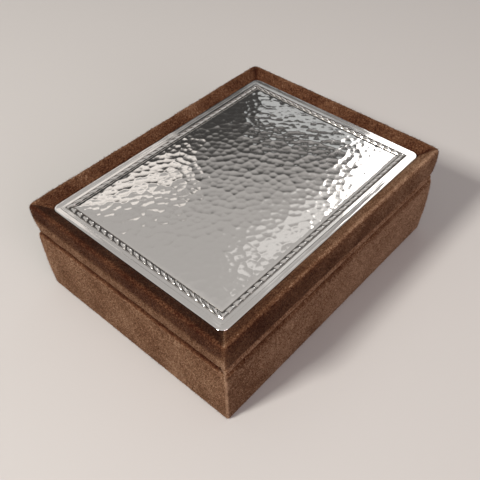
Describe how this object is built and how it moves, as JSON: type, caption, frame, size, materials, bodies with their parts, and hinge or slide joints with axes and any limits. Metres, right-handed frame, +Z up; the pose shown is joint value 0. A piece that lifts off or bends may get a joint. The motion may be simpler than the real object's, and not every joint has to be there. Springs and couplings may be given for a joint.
{
  "type": "lipstick case",
  "caption": "Velvet-covered hinged case with a hammered silver plaque on the lid, a mirror inside it and a lift-out tray with channels for lipsticks.",
  "frame": {"origin": "middle of the underside, on the surface the case stands on", "axes": "+X along the long side to the right, +Y to the back where the hinge is, +Z up"},
  "size_m": [0.13, 0.1, 0.045],
  "materials": {
    "outer_velvet": "deep brown velvet pile, matt",
    "lining_velvet": "brown velvet lining over card, matt",
    "tray_velvet": "brown flock over the shaped tray, matt",
    "ribbon": "satin ribbon, soft gloss",
    "underside_cloth": "plain dark cloth, matt",
    "birch": "bare sanded wood",
    "silver": "polished and hammered silver",
    "card": "grey-brown card",
    "brass": "satin brass",
    "steel": "bright drawn wire",
    "mirror": "silvered glass"
  },
  "bodies": {
    "base": {"underside_cloth": "underside_cloth", "bottom_board": "birch", "front_wall": "birch", "back_wall": "birch", "left_wall": "birch", "right_wall": "birch", "base_velvet": "outer_velvet", "front_lining": "lining_velvet", "back_lining": "lining_velvet", "left_lining": "lining_velvet", "right_lining": "lining_velvet", "floor_pad": "lining_velvet", "base_hinge_leaf": "brass", "hinge_pin": "steel", "base_hinge_screws": "brass"},
    "tray": {"tray_core": "birch", "tray_velvet": "tray_velvet", "left_tray_tab": "ribbon", "right_tray_tab": "ribbon"},
    "lid": {"lid_board": "birch", "lid_front_rail": "birch", "lid_back_rail": "birch", "lid_left_rail": "birch", "lid_right_rail": "birch", "lid_front_velvet": "outer_velvet", "lid_back_velvet": "outer_velvet", "lid_left_velvet": "outer_velvet", "lid_right_velvet": "outer_velvet", "plaque_backing": "card", "silver_plaque": "silver", "lid_front_lining": "lining_velvet", "lid_back_lining": "lining_velvet", "lid_left_lining": "lining_velvet", "lid_right_lining": "lining_velvet", "mirror_glass": "mirror", "mirror_frame": "lining_velvet", "lid_hinge_leaf": "brass", "lid_hinge_screws": "brass", "hinge_cover": "outer_velvet"}
  },
  "joints": [
    {"name": "lid_hinge", "type": "hinge", "parent": "base", "child": "lid", "pos_m": [0, 0.0478, 0.0304], "axis": [-1, 0, 0], "range_deg": [0, 98]},
    {"name": "tray_lift", "type": "slide", "parent": "base", "child": "tray", "axis": [0, 0, 1], "range_m": [0, 0.008]}
  ]
}
